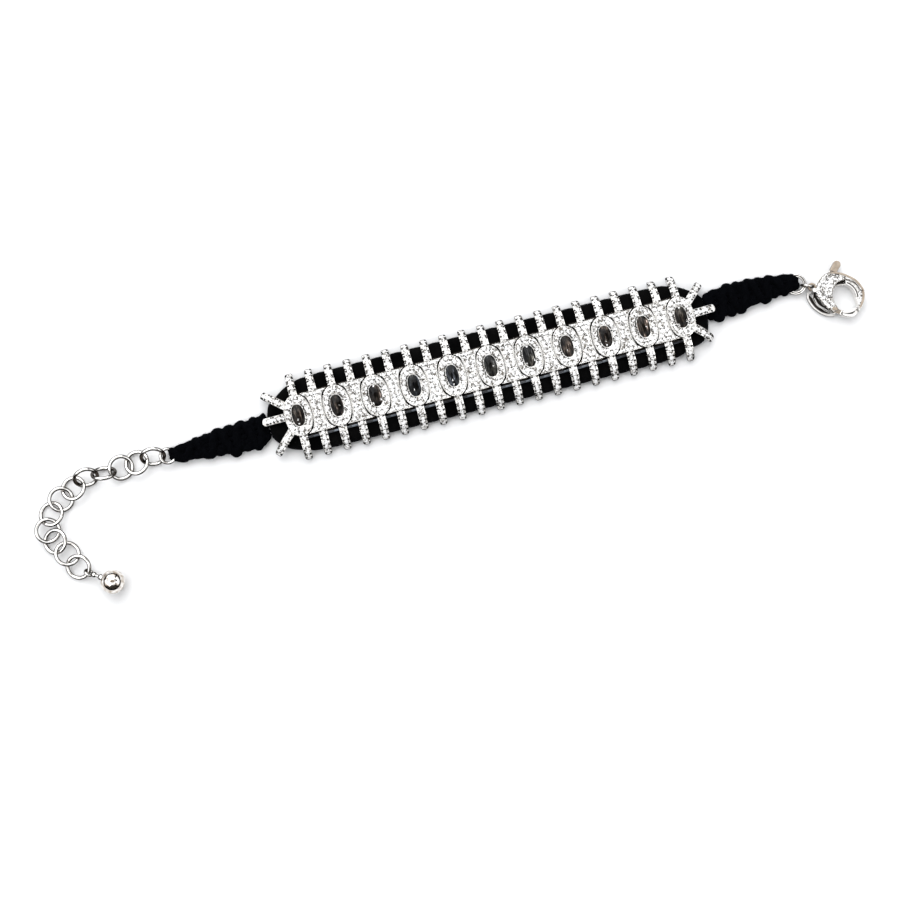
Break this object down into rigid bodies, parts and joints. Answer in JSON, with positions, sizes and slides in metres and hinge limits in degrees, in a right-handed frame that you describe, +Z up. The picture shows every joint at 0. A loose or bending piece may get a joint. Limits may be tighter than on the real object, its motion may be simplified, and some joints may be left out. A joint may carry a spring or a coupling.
{
  "type": "fabric bracelet",
  "caption": "Open padded fabric band bracelet with a pave metal panel of oval and bar links, dark oval stones, corded ends, extender chain with ball drop and trigger clasp.",
  "frame": {"origin": "middle of the flat underside of the fabric band, below the middle stone", "axes": "+X along the band towards the clasp, +Y across the band, +Z up through the stones"},
  "size_m": [0.1923, 0.0376, 0.0053],
  "materials": {
    "pave_metal": "white metal set with small clear stones",
    "polished_metal": "polished white metal",
    "dark_stone": "faceted smoky grey stone",
    "velvet": "black velvet",
    "knotted_cord": "black knotted cord"
  },
  "bodies": {
    "bracelet": {"oval_link_01": "pave_metal", "oval_link_02": "pave_metal", "oval_link_03": "pave_metal", "oval_link_04": "pave_metal", "oval_link_05": "pave_metal", "oval_link_06": "pave_metal", "oval_link_07": "pave_metal", "oval_link_08": "pave_metal", "oval_link_09": "pave_metal", "oval_link_10": "pave_metal", "oval_link_11": "pave_metal", "bar_link_01": "pave_metal", "bar_link_02": "pave_metal", "bar_link_03": "pave_metal", "bar_link_04": "pave_metal", "bar_link_05": "pave_metal", "bar_link_06": "pave_metal", "bar_link_07": "pave_metal", "bar_link_08": "pave_metal", "bar_link_09": "pave_metal", "bar_link_10": "pave_metal", "oval_stone_01": "dark_stone", "oval_stone_02": "dark_stone", "oval_stone_03": "dark_stone", "oval_stone_04": "dark_stone", "oval_stone_05": "dark_stone", "oval_stone_06": "dark_stone", "oval_stone_07": "dark_stone", "oval_stone_08": "dark_stone", "oval_stone_09": "dark_stone", "oval_stone_10": "dark_stone", "oval_stone_11": "dark_stone", "fabric_band": "velvet", "braid_left": "knotted_cord", "braid_right": "knotted_cord", "end_ring_left": "polished_metal", "end_ring_right": "polished_metal", "chain_link_01": "polished_metal", "chain_link_02": "polished_metal", "chain_link_03": "polished_metal", "chain_link_04": "polished_metal", "chain_link_05": "polished_metal", "chain_link_06": "polished_metal", "chain_link_07": "polished_metal", "chain_link_08": "polished_metal", "chain_link_09": "polished_metal", "chain_link_10": "polished_metal", "chain_link_11": "polished_metal", "chain_link_12": "polished_metal", "ball_drop": "polished_metal", "clasp_bail": "polished_metal", "clasp_body": "pave_metal"},
    "clasp_lever": {"clasp_lever": "polished_metal"}
  },
  "joints": [
    {"name": "clasp_lever_pivot", "type": "hinge", "parent": "bracelet", "child": "clasp_lever", "pos_m": [0.078, -0.00665, 0.0014], "axis": [0, 0, 1], "range_deg": [0, 16], "stiffness_Nm_per_rad": 0.005, "springref_deg": -28.65}
  ]
}
